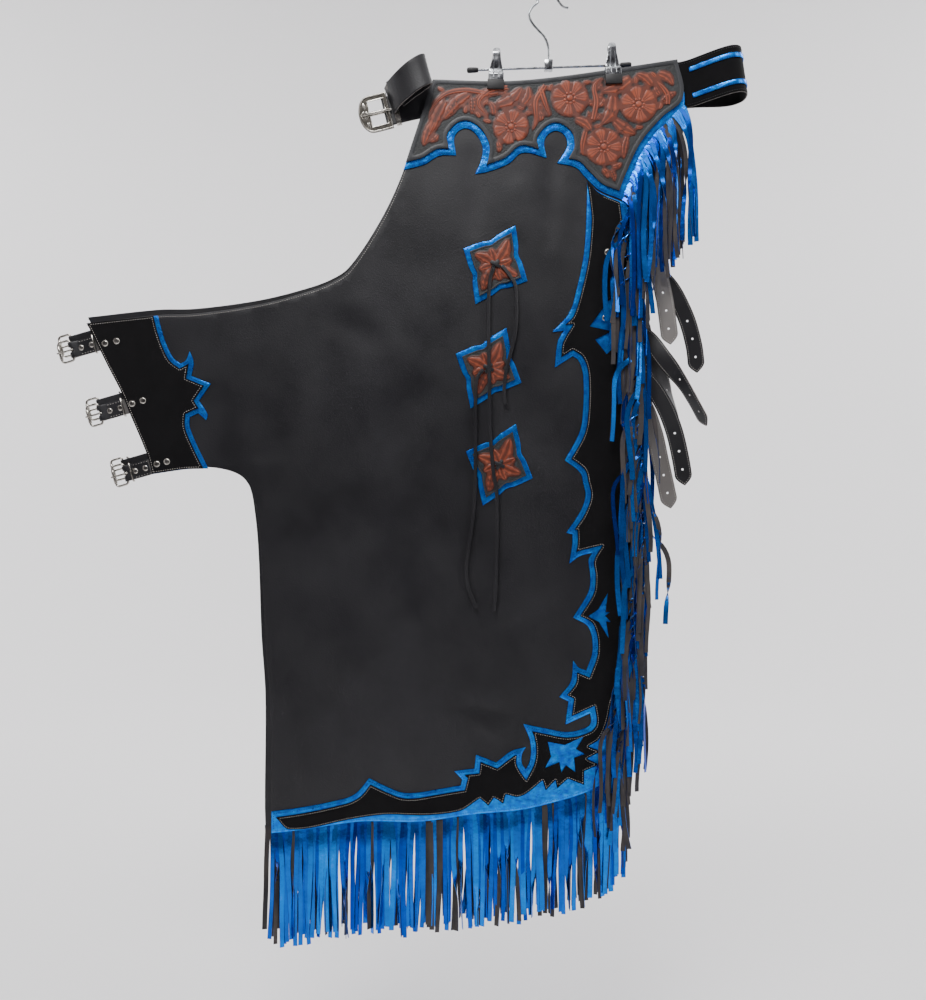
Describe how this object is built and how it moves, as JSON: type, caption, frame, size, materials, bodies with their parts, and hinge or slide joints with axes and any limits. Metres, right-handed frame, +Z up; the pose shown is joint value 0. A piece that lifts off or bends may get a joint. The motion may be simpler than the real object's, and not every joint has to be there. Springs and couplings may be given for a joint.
{
  "type": "leather chaps on a clip hanger",
  "caption": "Pair of fringed leather chaps folded in half and hung from a clip hanger, with tooled yoke, flame overlays, conchos, leg straps with swinging buckles, and belts.",
  "frame": {"origin": "inside top of the hanger's hook, where a nail or rail carries it", "axes": "+X to the right seen from the front leg's side, +Y from the front leg to the back leg, +Z up"},
  "size_m": [0.8942, 0.0629, 1.2484],
  "materials": {
    "black_leather": "smooth black chap leather, soft sheen",
    "suede": "black suede, napped",
    "metallic_blue": "foil-faced metallic blue leather, crinkled",
    "tooled_tan": "carved and stamped tan leather on a dark ground",
    "flesh_side": "grey flesh side of strap leather",
    "nickel": "nickel-plated cast buckle, engraved",
    "spring_steel": "chromed wire and spring clips"
  },
  "bodies": {
    "root": {"back_belt": "suede", "back_belt_stripe_1": "metallic_blue", "back_belt_stripe_2": "metallic_blue", "back_billet_1": "black_leather", "back_billet_2": "black_leather", "back_billet_3": "flesh_side", "back_concho_1": "tooled_tan", "back_concho_2": "tooled_tan", "back_concho_3": "tooled_tan", "back_fringe_hem": "metallic_blue", "back_fringe_side": "metallic_blue", "back_fringe_yoke": "metallic_blue", "back_leg_panel": "black_leather", "back_tab_overlay": "suede", "back_tab_strap_1": "black_leather", "back_tab_strap_2": "black_leather", "back_tab_strap_3": "black_leather", "back_tab_trim": "metallic_blue", "back_wing_overlay": "suede", "back_wing_trim": "metallic_blue", "back_yoke": "tooled_tan", "back_yoke_trim": "metallic_blue", "belt_buckle": "nickel", "front_belt": "black_leather", "front_belt_loop": "black_leather", "front_billet_1": "flesh_side", "front_billet_2": "black_leather", "front_billet_3": "black_leather", "front_concho_patch_1": "tooled_tan", "front_concho_patch_2": "tooled_tan", "front_concho_patch_3": "tooled_tan", "front_concho_trim_1": "metallic_blue", "front_concho_trim_2": "metallic_blue", "front_concho_trim_3": "metallic_blue", "front_fringe_hem": "metallic_blue", "front_fringe_side": "metallic_blue", "front_fringe_yoke": "metallic_blue", "front_leg_panel": "black_leather", "front_tab_overlay": "suede", "front_tab_strap_1": "black_leather", "front_tab_strap_2": "black_leather", "front_tab_strap_3": "black_leather", "front_tab_trim": "metallic_blue", "front_wing_overlay": "suede", "front_wing_trim": "metallic_blue", "front_yoke": "tooled_tan", "front_yoke_trim": "metallic_blue", "hanger_clip_1": "spring_steel", "hanger_clip_2": "spring_steel", "hanger_frame": "spring_steel", "lace_1": "black_leather", "lace_2": "black_leather", "lace_3": "black_leather"},
    "front_buckle_1": {"front_tab_buckle_1": "nickel"},
    "front_buckle_2": {"front_tab_buckle_2": "nickel"},
    "front_buckle_3": {"front_tab_buckle_3": "nickel"},
    "back_buckle_1": {"back_tab_buckle_1": "nickel"},
    "back_buckle_2": {"back_tab_buckle_2": "nickel"},
    "back_buckle_3": {"back_tab_buckle_3": "nickel"}
  },
  "joints": [
    {"name": "front_tab_buckle_1_swing", "type": "hinge", "parent": "root", "child": "front_buckle_1", "pos_m": [-0.61468, -0.0037, -0.47137], "axis": [-0.2756, 0, 0.9613], "range_deg": [0, 80]},
    {"name": "front_tab_buckle_2_swing", "type": "hinge", "parent": "root", "child": "front_buckle_2", "pos_m": [-0.57768, -0.0037, -0.55337], "axis": [-0.2756, 0, 0.9613], "range_deg": [0, 80]},
    {"name": "front_tab_buckle_3_swing", "type": "hinge", "parent": "root", "child": "front_buckle_3", "pos_m": [-0.54468, -0.0037, -0.63137], "axis": [-0.2756, 0, 0.9613], "range_deg": [0, 80]},
    {"name": "back_tab_buckle_1_swing", "type": "hinge", "parent": "root", "child": "back_buckle_1", "pos_m": [-0.61667, 0.0037, -0.4623], "axis": [0.2756, 0, -0.9613], "range_deg": [0, 80]},
    {"name": "back_tab_buckle_2_swing", "type": "hinge", "parent": "root", "child": "back_buckle_2", "pos_m": [-0.58066, 0.0037, -0.54474], "axis": [0.2756, 0, -0.9613], "range_deg": [0, 80]},
    {"name": "back_tab_buckle_3_swing", "type": "hinge", "parent": "root", "child": "back_buckle_3", "pos_m": [-0.5486, 0.0037, -0.62313], "axis": [0.2756, 0, -0.9613], "range_deg": [0, 80]}
  ]
}
